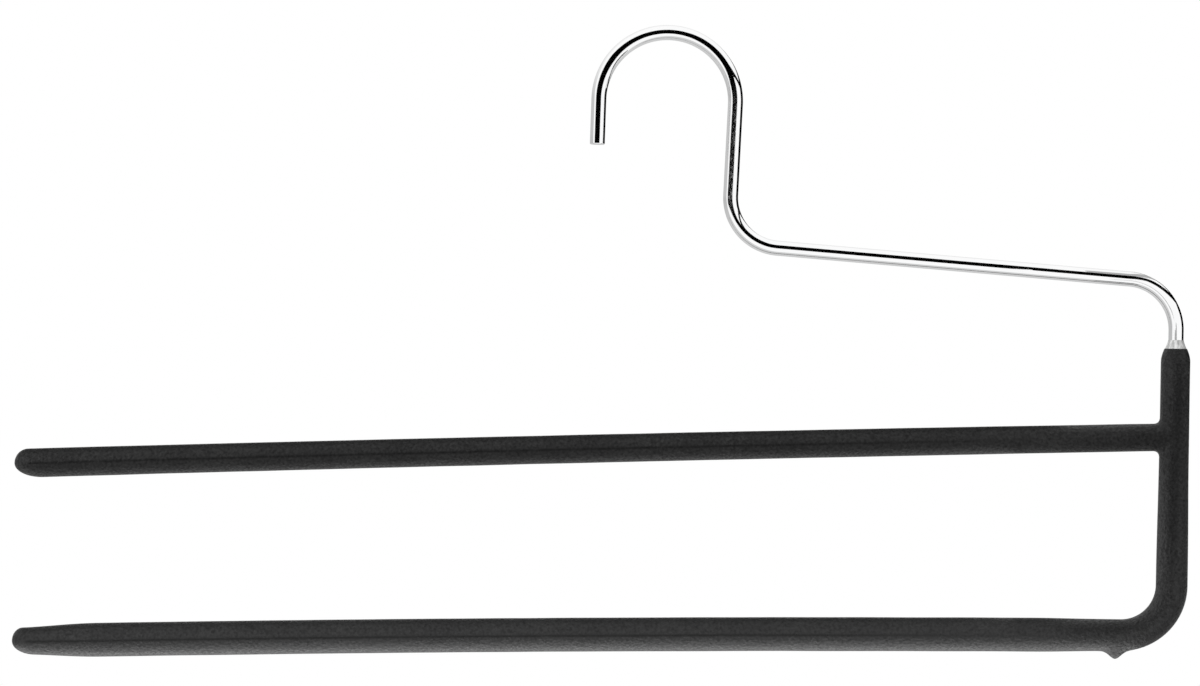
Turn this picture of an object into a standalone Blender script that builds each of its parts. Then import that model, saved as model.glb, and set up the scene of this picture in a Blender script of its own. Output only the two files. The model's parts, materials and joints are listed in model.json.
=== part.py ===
"""Double trouser hanger, open at one end.

One chromed wire is bent into the hook, the neck, the shoulder, the upright and the lower arm. A second
rod, welded to the upright, is the upper arm. The arms and the upright were dipped twice: a clear base coat,
which shows as a pale collar on the wire, and over it a thick black grip coat that holds the trousers.

The wire lies in the XZ plane, +X towards the closed end and +Z up. The origin is the point inside the
hook's crown that rests on the wardrobe rail.
"""

import math

import bmesh
import bpy
from mathutils import Vector

MM = 0.001
DEG = math.pi / 180

# Wire
WIRE_DIAMETER = 4.5 * MM
WIRE_END_CHAMFER = 0.4 * MM
BEND_RADIUS = 15.2 * MM

# Hook and neck
HOOK_BORE = 36.5 * MM
HOOK_TIP_LENGTH = 13.8 * MM
HOOK_TIP_FLARE = 2.0 * DEG
NECK_LENGTH = 27.2 * MM
NECK_LEAN = 3.0 * DEG

# Shoulder, upright and lower arm, each a run of the same wire
SHOULDER_LENGTH = 106.3 * MM
SHOULDER_FALL = 5.0 * DEG
UPRIGHT_LENGTH = 76.5 * MM
UPRIGHT_LEAN = 1.0 * DEG
LOWER_ARM_LENGTH = 327.8 * MM
LOWER_ARM_RISE = 0.4 * DEG
LOWER_ARM_BOW = 1.4 * DEG

# Upper arm, measured from the upright's axis, and its weld
UPPER_ARM_DROP = 32.0 * MM
UPPER_ARM_LENGTH = 343.2 * MM
UPPER_ARM_FALL = 0.98 * DEG
UPPER_ARM_BOW = 0.63 * DEG
WELD_LENGTH = 1.2 * MM

# Clear base coat
COLLAR_DROP = 2.9 * MM
COLLAR_HEIGHT = 2.6 * MM
COLLAR_EDGE_WALL = 0.12 * MM
BASE_WALL = 0.45 * MM
BASE_TIP_WALL = 0.8 * MM

# Black grip coat, thicker where it drained down
GRIP_EDGE_WALL = 0.2 * MM
GRIP_SHOULDER_HEIGHT = 4.0 * MM
UPRIGHT_GRIP_WALL = 1.2 * MM
BEND_GRIP_WALL = 1.55 * MM
LOWER_GRIP_WALL = 1.87 * MM
LOWER_NOSE_WALL = 0.8 * MM
LOWER_NOSE_LENGTH = 4.9 * MM
LOWER_SWELL_LENGTH = 26.0 * MM
UPPER_ROOT_WALL = 0.92 * MM
UPPER_TIP_WALL = 1.15 * MM
UPPER_NOSE_LENGTH = 6.4 * MM
NOSE_DROOP = 0.34
GRIP_TIP_WALL = 3.5 * MM
TEE_FILLET = 1.6 * MM

# Drip that set under the lower arm, measured from the end of the bend
DRIP_OFFSET = 1.7 * MM
DRIP_HEIGHT = 2.4 * MM
DRIP_SPREAD = 2.35 * MM

# Gap between pieces that touch on the real hanger
SEAT_GAP = 0.25 * MM

# Facets: how finely the round shapes are cut up
SIDES = 16
TEE_ROWS = 8
FILLET_STEPS = 4
FILLET_HANDLE = 0.4
NOSE_STEPS = 6
SWELL_RINGS = (0.5, 1.0)
DRIP_RINGS = (-1.5, -1.0, -0.5, 0.0, 0.5, 1.0, 1.5)
COLLAR_RINGS = (0.25, 0.5, 1.0)
FACET_TURN = 9.0 * DEG
LONG_STEP = 45.0 * MM
LEAST_STEP = 0.3 * MM
SHARP_EDGE = 35.0 * DEG

WIRE_RADIUS = WIRE_DIAMETER / 2
HOOK_RADIUS = HOOK_BORE / 2 + WIRE_RADIUS
BASE_INNER_RADIUS = WIRE_RADIUS + SEAT_GAP
BASE_OUTER_RADIUS = BASE_INNER_RADIUS + BASE_WALL
GRIP_INNER_RADIUS = BASE_OUTER_RADIUS + SEAT_GAP
QUARTER = SIDES // 4
ROUND = [2 * math.pi * i / SIDES for i in range(SIDES)]


class Line:
    """A wire's centreline in the XZ plane, laid leg by leg and read by the distance along it."""

    def __init__(self, x, z, heading):
        self.legs = []
        self.length = 0.0
        self.tail = (x, z, heading)

    def lay(self, length, turn=0.0):
        """Adds a leg that turns steadily, to the left if turn is positive, and returns where it ends."""
        self.legs.append((self.length, length, turn, self.tail))
        self.length += length
        self.tail = self.at(self.length)
        return self.length

    def bend(self, radius, turn):
        """Adds a bend round a former of this radius, and returns where it ends."""
        return self.lay(radius * abs(turn), turn)

    def at(self, distance):
        """The x, z and heading at this distance. Past the end the last leg goes on."""
        start, length, turn, (x, z, heading) = [leg for leg in self.legs if leg[0] <= distance][-1]
        along = distance - start
        if turn == 0:
            return x + along * math.cos(heading), z + along * math.sin(heading), heading
        radius = length / turn
        after = heading + along / radius
        return (
            x + radius * (math.sin(after) - math.sin(heading)),
            z + radius * (math.cos(heading) - math.cos(after)),
            after,
        )

    def point(self, distance, radius, angle):
        """A point round the line: angle 0 is on the right of its heading, and a quarter turn is +Y."""
        x, z, heading = self.at(distance)
        side = radius * math.cos(angle)
        depth = radius * math.sin(angle)
        return Vector((x + side * math.sin(heading), depth, z - side * math.cos(heading)))

    def direction(self, distance):
        heading = self.at(distance)[2]
        return Vector((math.cos(heading), 0, math.sin(heading)))

    def stations(self):
        """The distances that follow the line's shape: the ends of its legs, and steps along each."""
        found = [0.0]
        for start, length, turn, _ in self.legs:
            steps = max(math.ceil(abs(turn) / FACET_TURN), math.ceil(length / LONG_STEP))
            found += [start + length * (i + 1) / steps for i in range(steps)]
        return found


def merged(keys, fill):
    """The key distances in order, with each fill that lies between them and not too close to another."""
    low, high = min(keys), max(keys)
    found = list(keys)
    for distance in fill:
        if low < distance < high and min(abs(distance - other) for other in found) > LEAST_STEP:
            found.append(distance)
    return sorted(found)


def frame_line():
    """The long wire's line, from the hook's tip to the lower arm's end, and the places that matter on it."""
    arc_start = math.pi - HOOK_TIP_FLARE
    heading = arc_start - math.pi / 2
    x = HOOK_RADIUS * math.cos(arc_start) - HOOK_TIP_LENGTH * math.cos(heading)
    z = HOOK_RADIUS * math.sin(arc_start) - HOOK_TIP_LENGTH * math.sin(heading) - HOOK_BORE / 2
    line = Line(x, z, heading)
    line.lay(HOOK_TIP_LENGTH)
    line.bend(HOOK_RADIUS, -(arc_start + NECK_LEAN))
    line.lay(NECK_LENGTH)
    line.bend(BEND_RADIUS, math.pi / 2 + NECK_LEAN - SHOULDER_FALL)
    line.lay(SHOULDER_LENGTH)
    places = {"upright_start": line.bend(BEND_RADIUS, SHOULDER_FALL - UPRIGHT_LEAN - math.pi / 2)}
    places["upright_end"] = line.lay(UPRIGHT_LENGTH)
    places["arm_start"] = line.bend(BEND_RADIUS, UPRIGHT_LEAN - LOWER_ARM_RISE - math.pi / 2)
    places["arm_end"] = line.lay(LOWER_ARM_LENGTH, LOWER_ARM_BOW)
    places["tee"] = places["upright_start"] + UPPER_ARM_DROP
    places["collar_top"] = places["upright_start"] + COLLAR_DROP
    places["grip_top"] = places["collar_top"] + COLLAR_HEIGHT
    return line, places


FRAME, AT = frame_line()


def upper_arm_line():
    """The upper arm's line, from the upright's axis to the rod's end."""
    x, z, _ = FRAME.at(AT["tee"])
    line = Line(x, z, math.pi + UPPER_ARM_FALL)
    line.lay(UPPER_ARM_LENGTH, UPPER_ARM_BOW)
    return line


UPPER = upper_arm_line()


def eased(share):
    """A share from 0 to 1 that starts and ends level."""
    share = min(max(share, 0.0), 1.0)
    return share * share * (3 - 2 * share)


def rounding(from_tip, length):
    """The share of the full radius this far from a tip that is rounded over this length."""
    return math.sqrt(1 - max(0.0, 1 - from_tip / length) ** 2)


class Skin:
    """One surface of a coat. It covers the frame from top to the lower arm's tip, and the upper arm."""

    fillet = SEAT_GAP
    droop = 0.0

    def __init__(self, top, radius, cover, frame_nose, arm_nose):
        self.top = top
        self.radius = radius
        self.frame_end = AT["arm_end"] + cover
        self.arm_end = UPPER.length + cover
        self.frame_nose = frame_nose
        self.arm_nose = arm_nose

    def details(self):
        """Distances along the frame where the surface has a shape of its own."""
        return []

    def on_frame(self, distance):
        """The radius along the frame, before its tip is rounded."""
        return self.radius

    def on_arm(self, distance):
        """The radius along the upper arm, before its tip is rounded."""
        return self.radius

    def nose_length(self, length, angle):
        """How far a nose's rounding reaches: less on top, where the angle is 0, than underneath."""
        return length * (1 - self.droop * math.cos(angle))

    def frame_radius(self, distance, angle):
        nose = self.nose_length(self.frame_nose, angle)
        return self.on_frame(distance) * rounding(self.frame_end - distance, nose)

    def arm_radius(self, distance, angle):
        nose = self.nose_length(self.arm_nose, angle)
        return self.on_arm(distance) * rounding(self.arm_end - distance, nose)

    def nose_stations(self, end, length):
        """Distances along a rounded tip, short of its very end."""
        reach = self.nose_length(length, math.pi)
        return [end - reach * (1 - math.sin(math.pi / 2 * i / NOSE_STEPS)) for i in range(NOSE_STEPS)]


class CollarSkin(Skin):
    """The clear coat's outside, which thins to an edge on the wire and so shows as a collar."""

    def details(self):
        return [self.top + COLLAR_HEIGHT * share for share in COLLAR_RINGS]

    def on_frame(self, distance):
        edge = BASE_INNER_RADIUS + COLLAR_EDGE_WALL
        return edge + (self.radius - edge) * eased((distance - self.top) / COLLAR_HEIGHT)


class GripSkin(Skin):
    """The black coat's outside: a rounded top edge, drooping noses, a filleted tee and a drip."""

    fillet = TEE_FILLET
    droop = NOSE_DROOP

    def details(self):
        drip = AT["arm_start"] + DRIP_OFFSET
        found = [drip + DRIP_SPREAD * share for share in DRIP_RINGS]
        found += [self.top + GRIP_SHOULDER_HEIGHT * share for share in COLLAR_RINGS]
        swell = [LOWER_SWELL_LENGTH * share for share in SWELL_RINGS]
        return found + [AT["arm_start"] + s for s in swell] + [self.frame_end - s for s in swell]

    def on_frame(self, distance):
        from_tip = self.frame_end - distance
        if distance < self.top + GRIP_SHOULDER_HEIGHT:
            share = math.sin(math.pi / 2 * (distance - self.top) / GRIP_SHOULDER_HEIGHT)
            thin, thick = GRIP_EDGE_WALL, UPRIGHT_GRIP_WALL
        elif distance < AT["arm_start"]:
            share = eased((distance - AT["tee"]) / (AT["upright_end"] - AT["tee"]))
            thin, thick = UPRIGHT_GRIP_WALL, BEND_GRIP_WALL
        elif from_tip > LOWER_SWELL_LENGTH:
            share = eased((distance - AT["arm_start"]) / LOWER_SWELL_LENGTH)
            thin, thick = BEND_GRIP_WALL, LOWER_GRIP_WALL
        else:
            share = eased(from_tip / LOWER_SWELL_LENGTH)
            thin, thick = LOWER_NOSE_WALL, LOWER_GRIP_WALL
        return self.radius + thin + (thick - thin) * share

    def on_arm(self, distance):
        return self.radius + UPPER_ROOT_WALL + (UPPER_TIP_WALL - UPPER_ROOT_WALL) * distance / self.arm_end


def ring(bm, line, distance, radius, angles):
    """New vertices round the line, from the radius as a function of the distance and the angle."""
    return [bm.verts.new(line.point(distance, radius(distance, angle), angle)) for angle in angles]


def bridge(bm, first, second, left_out=()):
    """Quads between two rings of as many vertices, but for the places left out."""
    for i in range(len(first)):
        after = (i + 1) % len(first)
        if i not in left_out:
            bm.faces.new((first[i], first[after], second[after], second[i]))


def add_tube(bm, line, distances, radius):
    """A solid round bar along the line, from the radius as a function of the distance and the angle."""
    rings = [ring(bm, line, distance, radius, ROUND) for distance in distances]
    for first, second in zip(rings, rings[1:]):
        bridge(bm, first, second)
    bm.faces.new(rings[0])
    bm.faces.new(rings[-1])


def tee_loop(rings, first, last):
    """The edge of the hole on the upright's arm side, from the middle of its top row round by +Y."""
    down = range(first + 1, last)
    loop = [rings[first][k] for k in range(QUARTER + 1)]
    loop += [rings[i][QUARTER] for i in down]
    loop += [rings[last][k] for k in range(QUARTER, -QUARTER - 1, -1)]
    loop += [rings[i][-QUARTER] for i in reversed(down)]
    return loop + [rings[first][k] for k in range(-QUARTER, 0)]


def fillet_rings(bm, loop, foot, root):
    """Rings from the hole's edge to the arm's first ring, on curves that leave both surfaces smoothly."""
    x, z, _ = FRAME.at(AT["tee"])
    axis = FRAME.direction(AT["tee"])
    rows = [[] for _ in range(FILLET_STEPS - 1)]
    for start, end in zip(loop, foot):
        outward = start.co - Vector((x, 0, z))
        outward = (outward - axis * outward.dot(axis)).normalized()
        across = end.co - start.co
        handle = FILLET_HANDLE * across.length
        leaving = start.co + (across - outward * across.dot(outward)).normalized() * handle
        arriving = end.co - UPPER.direction(root) * handle
        for i, row in enumerate(rows):
            t = (i + 1) / FILLET_STEPS
            s = 1 - t
            ends = start.co * s**3 + end.co * t**3
            row.append(bm.verts.new(ends + 3 * s * t * (leaving * s + arriving * t)))
    return rows


def add_skin(bm, skin):
    """Adds one coat surface, closed at both tips, and returns its open ring at the top."""
    hole = skin.on_arm(0) + skin.fillet
    rows = [AT["tee"] + hole * (2 * i / TEE_ROWS - 1) for i in range(TEE_ROWS + 1)]
    steps = [d for d in FRAME.stations() + skin.details() if not rows[0] < d < rows[-1]]
    distances = merged([skin.top] + rows + skin.nose_stations(skin.frame_end, skin.frame_nose), steps)
    main = [ring(bm, FRAME, d, skin.frame_radius, ROUND) for d in distances]
    facing = {k % SIDES for k in range(-QUARTER, QUARTER)}
    for distance, first, second in zip(distances, main, main[1:]):
        bridge(bm, first, second, facing if rows[0] <= distance < rows[-1] else ())
    bm.faces.new(main[-1])

    loop = tee_loop(main, distances.index(rows[0]), distances.index(rows[-1]))
    root = skin.on_frame(AT["tee"]) + skin.fillet
    distances = merged([root] + skin.nose_stations(skin.arm_end, skin.arm_nose), UPPER.stations())
    angles = [2 * math.pi * i / len(loop) for i in range(len(loop))]
    arm = [ring(bm, UPPER, d, skin.arm_radius, angles) for d in distances]
    rings = [loop] + fillet_rings(bm, loop, arm[0], root) + arm
    for first, second in zip(rings, rings[1:]):
        bridge(bm, first, second)
    bm.faces.new(arm[-1])
    return main[0]


def add_drip(bm):
    """Draws the underside of the lower arm down into a drip."""
    x, z, _ = FRAME.at(AT["arm_start"] + DRIP_OFFSET)
    for vertex in bm.verts:
        away = math.hypot(vertex.co.x - x, vertex.co.y)
        if vertex.co.z < z:
            vertex.co.z -= DRIP_HEIGHT * math.exp(-((away / DRIP_SPREAD) ** 2))


def clear_scene():
    for obj in list(bpy.data.objects):
        bpy.data.objects.remove(obj)


def finish_material(name, colour, roughness, metallic, transmission=0.0):
    material = bpy.data.materials.new(name)
    material.use_nodes = True
    shader = material.node_tree.nodes["Principled BSDF"]
    shader.inputs["Base Color"].default_value = (*colour, 1)
    shader.inputs["Roughness"].default_value = roughness
    shader.inputs["Metallic"].default_value = metallic
    shader.inputs["Transmission Weight"].default_value = transmission
    return material


def make_object(name, bm, material, parent):
    """Turns the mesh into a named object, smooth but for its real edges."""
    bmesh.ops.delete(bm, geom=[v for v in bm.verts if not v.link_faces], context="VERTS")
    bmesh.ops.recalc_face_normals(bm, faces=bm.faces)
    mesh = bpy.data.meshes.new(name)
    bm.to_mesh(mesh)
    bm.free()
    mesh.shade_smooth()
    mesh.set_sharp_from_angle(angle=SHARP_EDGE)
    mesh.materials.append(material)
    obj = bpy.data.objects.new(name, mesh)
    obj.parent = parent
    bpy.context.scene.collection.objects.link(obj)
    return obj


def make_wire(name, line, first, material, parent):
    """A length of wire with eased ends, from this distance to the line's end."""
    last = line.length
    eased_ends = [first, first + WIRE_END_CHAMFER, last - WIRE_END_CHAMFER, last]
    bm = bmesh.new()
    add_tube(
        bm, line, merged(eased_ends, line.stations()),
        lambda distance, angle: WIRE_RADIUS - WIRE_END_CHAMFER * (distance in (first, last)),
    )
    return make_object(name, bm, material, parent)


def make_weld(last, material, parent):
    """The weld nugget: a plug in line with the rod, cut to sit round the upright."""
    bm = bmesh.new()
    add_tube(bm, UPPER, [0, last], lambda distance, angle: WIRE_RADIUS)
    weld = make_object("arm_weld", bm, material, parent)
    bm = bmesh.new()
    reach = 2 * WIRE_RADIUS
    add_tube(bm, FRAME, [AT["tee"] - reach, AT["tee"] + reach], lambda distance, angle: BASE_INNER_RADIUS)
    cutter = make_object("weld_cutter", bm, material, parent)
    cutter.hide_render = True
    cutter.display_type = "WIRE"
    cut = weld.modifiers.new("Fit round the upright", "BOOLEAN")
    cut.operation = "DIFFERENCE"
    cut.object = cutter
    return weld


def make_coat(name, outer, inner, material, parent, drip=False):
    """A coat: its outside, its inside and the rim that joins them at the top."""
    bm = bmesh.new()
    outer_rim = add_skin(bm, outer)
    if drip:
        add_drip(bm)
    bridge(bm, outer_rim, add_skin(bm, inner))
    return make_object(name, bm, material, parent)


def make_hanger():
    hanger = bpy.data.objects.new("hanger", None)
    bpy.context.scene.collection.objects.link(hanger)

    chrome = finish_material("chrome", (0.83, 0.84, 0.85), 0.08, 1.0)
    raw_steel = finish_material("raw_steel", (0.42, 0.42, 0.42), 0.4, 1.0)
    weld_steel = finish_material("weld_steel", (0.30, 0.29, 0.28), 0.55, 1.0)
    clear_vinyl = finish_material("clear_vinyl", (0.88, 0.88, 0.86), 0.25, 0.0, 0.8)
    black_vinyl = finish_material("black_vinyl", (0.022, 0.022, 0.023), 0.5, 0.0)

    weld_end = WIRE_RADIUS + SEAT_GAP + WELD_LENGTH
    make_wire("frame_wire", FRAME, 0.0, chrome, hanger)
    make_wire("upper_arm_rod", UPPER, weld_end + SEAT_GAP, raw_steel, hanger)
    make_weld(weld_end, weld_steel, hanger)

    cover = SEAT_GAP
    nose = SEAT_GAP + WIRE_END_CHAMFER
    base_inner = Skin(AT["collar_top"], BASE_INNER_RADIUS, cover, nose, nose)
    cover += BASE_TIP_WALL
    nose = BASE_TIP_WALL
    base_outer = CollarSkin(AT["collar_top"], BASE_OUTER_RADIUS, cover, nose, nose)
    cover += SEAT_GAP
    grip_inner = Skin(AT["grip_top"], GRIP_INNER_RADIUS, cover, nose, nose)
    cover += GRIP_TIP_WALL
    grip_outer = GripSkin(AT["grip_top"], GRIP_INNER_RADIUS, cover, LOWER_NOSE_LENGTH, UPPER_NOSE_LENGTH)
    make_coat("clear_base_coat", base_outer, base_inner, clear_vinyl, hanger)
    make_coat("black_grip_coat", grip_outer, grip_inner, black_vinyl, hanger, drip=True)


clear_scene()
make_hanger()
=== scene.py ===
# %% [markdown]
# # Dressing a double trouser hanger
# An open-ended trouser hanger is one bent and chromed wire, one rod welded across it, and two dip
# coats: a thin clear one, and over it a thick black one that keeps trousers from sliding. The packed
# model already holds these pieces as plain solids at their real size. This lesson loads them as a fixed
# frame and gives each its fine surface and finish, then builds a small photo studio round them. We keep
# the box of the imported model, to compare it with ours at the end.

# %% Load the frame
import json
import math
from collections import namedtuple

import bmesh
import bpy
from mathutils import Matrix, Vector, noise


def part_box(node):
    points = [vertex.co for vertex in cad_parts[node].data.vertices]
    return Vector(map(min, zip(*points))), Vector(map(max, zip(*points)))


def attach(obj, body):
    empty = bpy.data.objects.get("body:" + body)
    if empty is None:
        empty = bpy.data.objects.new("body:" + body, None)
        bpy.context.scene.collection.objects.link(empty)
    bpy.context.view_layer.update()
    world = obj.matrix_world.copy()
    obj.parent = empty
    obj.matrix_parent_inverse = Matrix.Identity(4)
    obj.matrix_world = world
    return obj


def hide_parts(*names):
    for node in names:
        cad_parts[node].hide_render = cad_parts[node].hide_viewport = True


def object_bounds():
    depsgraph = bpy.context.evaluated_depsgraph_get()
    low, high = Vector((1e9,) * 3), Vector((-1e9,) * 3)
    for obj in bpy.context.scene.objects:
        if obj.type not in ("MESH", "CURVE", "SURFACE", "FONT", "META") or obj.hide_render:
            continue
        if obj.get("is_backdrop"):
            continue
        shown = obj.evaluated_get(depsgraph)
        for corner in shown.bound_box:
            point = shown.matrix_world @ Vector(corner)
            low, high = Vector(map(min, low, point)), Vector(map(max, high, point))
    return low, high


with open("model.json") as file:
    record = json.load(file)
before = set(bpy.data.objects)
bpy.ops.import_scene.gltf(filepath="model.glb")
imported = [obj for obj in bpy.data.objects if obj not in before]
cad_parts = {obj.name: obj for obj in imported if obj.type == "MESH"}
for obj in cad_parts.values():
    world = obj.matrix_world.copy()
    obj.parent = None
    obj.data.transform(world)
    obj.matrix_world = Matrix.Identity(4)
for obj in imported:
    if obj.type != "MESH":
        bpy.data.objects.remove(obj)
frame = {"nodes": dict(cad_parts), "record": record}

MM = 0.001
DEG = math.pi / 180
cad_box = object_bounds()
print("nodes:", ", ".join(sorted(frame["nodes"])))

# %% [markdown]
# ## The bender's sheet
# A wire former works from a list of legs and bends, so we keep the same list: so far straight, then so
# many degrees round a former of such a radius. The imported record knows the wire's thickness and the
# inside of the hook, so those two are read from it. The others are the sizes of the real hanger, in
# metres and radians.

# %% Sizes of the wire
rail = frame["record"]["mounts"][0]["dims"]
WIRE_RADIUS = rail["length_mm"] * MM / 2
HOOK_BORE_RADIUS = rail["r_mm"] * MM
HOOK_RADIUS = HOOK_BORE_RADIUS + WIRE_RADIUS
HOOK_TIP_LENGTH = 13.8 * MM
HOOK_TIP_FLARE = 2.0 * DEG
NECK_LENGTH = 27.2 * MM
NECK_LEAN = 3.0 * DEG
BEND_RADIUS = 15.2 * MM
SHOULDER_LENGTH = 106.3 * MM
SHOULDER_FALL = 5.0 * DEG
UPRIGHT_LENGTH = 76.5 * MM
UPRIGHT_LEAN = 1.0 * DEG
LOWER_ARM_LENGTH = 327.8 * MM
LOWER_ARM_RISE = 0.4 * DEG
LOWER_ARM_BOW = 1.4 * DEG
UPPER_ARM_DROP = 32.0 * MM
UPPER_ARM_LENGTH = 343.2 * MM
UPPER_ARM_FALL = 0.98 * DEG
UPPER_ARM_BOW = 0.63 * DEG
print(f"wire {2000 * WIRE_RADIUS:.1f} mm thick, hook {2000 * HOOK_BORE_RADIUS:.1f} mm inside")

# %% [markdown]
# ## A line that can be read by distance
# Everything on this hanger follows a wire, so every piece asks the same two questions: where is the
# wire after so many millimetres, and which way is it heading? A Bezier curve drawn by hand could
# answer, but its bends would not be true arcs. This small class lays exact legs one after another in
# the XZ plane and answers both.


# %% The wire's line
class Line:
    """A centreline in the XZ plane, laid leg by leg and read by the distance along it."""

    def __init__(self, x, z, heading):
        self.legs = []
        self.length = 0.0
        self.tail = (x, z, heading)

    def lay(self, length, turn=0.0):
        """Adds a leg that turns steadily, to the left if turn is positive, and returns where it ends."""
        self.legs.append((self.length, length, turn, self.tail))
        self.length += length
        self.tail = self.at(self.length)
        return self.length

    def bend(self, radius, turn):
        """Adds a bend round a former of this radius, and returns where it ends."""
        return self.lay(radius * abs(turn), turn)

    def at(self, distance):
        """The x, z and heading at this distance. Past the end the last leg goes on."""
        start, length, turn, (x, z, heading) = [leg for leg in self.legs if leg[0] <= distance][-1]
        along = distance - start
        if turn == 0:
            return x + along * math.cos(heading), z + along * math.sin(heading), heading
        radius = length / turn
        after = heading + along / radius
        across = math.sin(after) - math.sin(heading)
        up = math.cos(heading) - math.cos(after)
        return x + radius * across, z + radius * up, after

    def point(self, distance, radius, angle):
        """A point round the line: angle 0 is on the right of its heading, and a quarter turn is +Y."""
        x, z, heading = self.at(distance)
        side = radius * math.cos(angle)
        depth = radius * math.sin(angle)
        return Vector((x + side * math.sin(heading), depth, z - side * math.cos(heading)))

    def direction(self, distance):
        heading = self.at(distance)[2]
        return Vector((math.cos(heading), 0, math.sin(heading)))

    def stations(self, step, turn_step):
        """Distances that follow the line's shape: short steps round the bends, longer ones between them."""
        found = [0.0]
        for start, length, turn, _ in self.legs:
            count = max(math.ceil(abs(turn) / turn_step), math.ceil(length / step))
            found += [start + length * (i + 1) / count for i in range(count)]
        return found


# %% Lay the long wire and the upper arm
arc_start = math.pi - HOOK_TIP_FLARE
tip_heading = arc_start - math.pi / 2
long_wire = Line(
    HOOK_RADIUS * math.cos(arc_start) - HOOK_TIP_LENGTH * math.cos(tip_heading),
    HOOK_RADIUS * math.sin(arc_start) - HOOK_TIP_LENGTH * math.sin(tip_heading) - HOOK_BORE_RADIUS,
    tip_heading,
)
hook_start = long_wire.lay(HOOK_TIP_LENGTH)
hook_end = long_wire.bend(HOOK_RADIUS, -(arc_start + NECK_LEAN))
neck_end = long_wire.lay(NECK_LENGTH)
shoulder_start = long_wire.bend(BEND_RADIUS, math.pi / 2 + NECK_LEAN - SHOULDER_FALL)
shoulder_end = long_wire.lay(SHOULDER_LENGTH)
upright_start = long_wire.bend(BEND_RADIUS, SHOULDER_FALL - UPRIGHT_LEAN - math.pi / 2)
upright_end = long_wire.lay(UPRIGHT_LENGTH)
lower_arm_start = long_wire.bend(BEND_RADIUS, UPRIGHT_LEAN - LOWER_ARM_RISE - math.pi / 2)
lower_arm_end = long_wire.lay(LOWER_ARM_LENGTH, LOWER_ARM_BOW)

tee = upright_start + UPPER_ARM_DROP
tee_x, tee_z, _ = long_wire.at(tee)
upper_rod = Line(tee_x, tee_z, math.pi + UPPER_ARM_FALL)
upper_rod.lay(UPPER_ARM_LENGTH, UPPER_ARM_BOW)
print(f"long wire {1000 * long_wire.length:.0f} mm, upper rod {1000 * upper_rod.length:.0f} mm")

# %% [markdown]
# ## Helpers for node trees
# Shader trees and geometry trees are built the same way: make a node, set it up, then feed its sockets
# with numbers or with links. Two helpers do that, so that each finish below reads as a list of what it
# is made of.


# %% Make and link nodes
def feed(tree, node, sockets):
    """Gives a node's sockets plain values, or links them to other nodes' output sockets."""
    for name, value in sockets.items():
        if isinstance(value, bpy.types.NodeSocket):
            tree.links.new(value, node.inputs[name])
        else:
            node.inputs[name].default_value = value


def add_node(tree, kind, sockets=None, **settings):
    """Adds a node with these settings and feeds its sockets."""
    made = tree.nodes.new(kind)
    for name, value in settings.items():
        setattr(made, name, value)
    feed(tree, made, sockets or {})
    return made


def math_node(tree, operation, *values):
    """Adds a Math node on these values and returns its result."""
    return add_node(tree, "ShaderNodeMath", dict(enumerate(values)), operation=operation).outputs[0]


def map_range(tree, value, start, end, first, last, **settings):
    """Maps a value from one range to another. A value past the range stays at its end."""
    sockets = {"Value": value, "From Min": start, "From Max": end, "To Min": first, "To Max": last}
    return add_node(tree, "ShaderNodeMapRange", sockets, **settings).outputs["Result"]


# %% [markdown]
# ## Helpers for finishes
# A real surface is never one colour. It differs in patches, lines and specks of several sizes, and each
# of the finishes below is a few such noises, stretched, mixed and turned into bumps. The sizes are
# those of the marks on the real surface, so a finish looks right at any distance.

# %% Noise, colours and bumps
NOISE_LOW = 0.3
NOISE_HIGH = 0.7


def new_finish(name):
    """A material with a lone Principled shader, and its tree and shader."""
    material = bpy.data.materials.new(name)
    material.use_nodes = True
    tree = material.node_tree
    return material, tree, tree.nodes["Principled BSDF"]


def object_place(tree):
    """Where a point of the piece is, in metres."""
    return add_node(tree, "ShaderNodeTexCoord").outputs["Object"]


def speckle(tree, place, size, detail=2.0):
    """Noise with marks of about this size in metres, at the given places."""
    sockets = {"Vector": place, "Scale": 1 / size, "Detail": detail}
    return add_node(tree, "ShaderNodeTexNoise", sockets).outputs["Fac"]


def spread(tree, value, low, high):
    """Stretches the middle of a noise, where most of its values lie, over the range from low to high."""
    return map_range(tree, value, NOISE_LOW, NOISE_HIGH, low, high)


def blend(tree, factor, first, second):
    """Mixes two colours, each given as numbers or as a socket."""
    mix = add_node(tree, "ShaderNodeMix", data_type="RGBA")
    for name, value in (("Factor", factor), ("A", first), ("B", second)):
        socket = next(s for s in mix.inputs if s.name == name and s.enabled)
        if isinstance(value, bpy.types.NodeSocket):
            tree.links.new(value, socket)
        else:
            socket.default_value = (*value, 1)
    return next(s for s in mix.outputs if s.enabled)


def shades(tree, value, dark, light):
    """Blends two colours by a noise."""
    return blend(tree, spread(tree, value, 0, 1), dark, light)


def relief(tree, height, depth, below=None):
    """A bump of this depth in metres, on top of another."""
    sockets = {"Height": height, "Distance": depth}
    if below:
        sockets["Normal"] = below
    return add_node(tree, "ShaderNodeBump", sockets).outputs["Normal"]


# %% [markdown]
# ## Chrome on drawn wire
# Wire is pulled through a die, which leaves fine lines along it, and the plating follows them. Chrome
# itself is almost a perfect mirror, so what makes it look real is small: the draw lines, a slight
# ripple that makes reflections waver, and patches that are a little less sharp. The face of the neck is
# scuffed as well, where it lay in the bending tool. The marks run along the wire even round its bends,
# so they cannot use plain coordinates: the sweep below stores where each point was on the straight
# wire, and the finish reads that.

# %% The chrome finish
STRAIGHT = "straight_place"
DRAW_STRETCH = 0.012
SCUFF_STRETCH = 0.5
SCUFF_FADE = 8 * MM
SCUFF_DEPTH = 0.15 * WIRE_RADIUS


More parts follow.
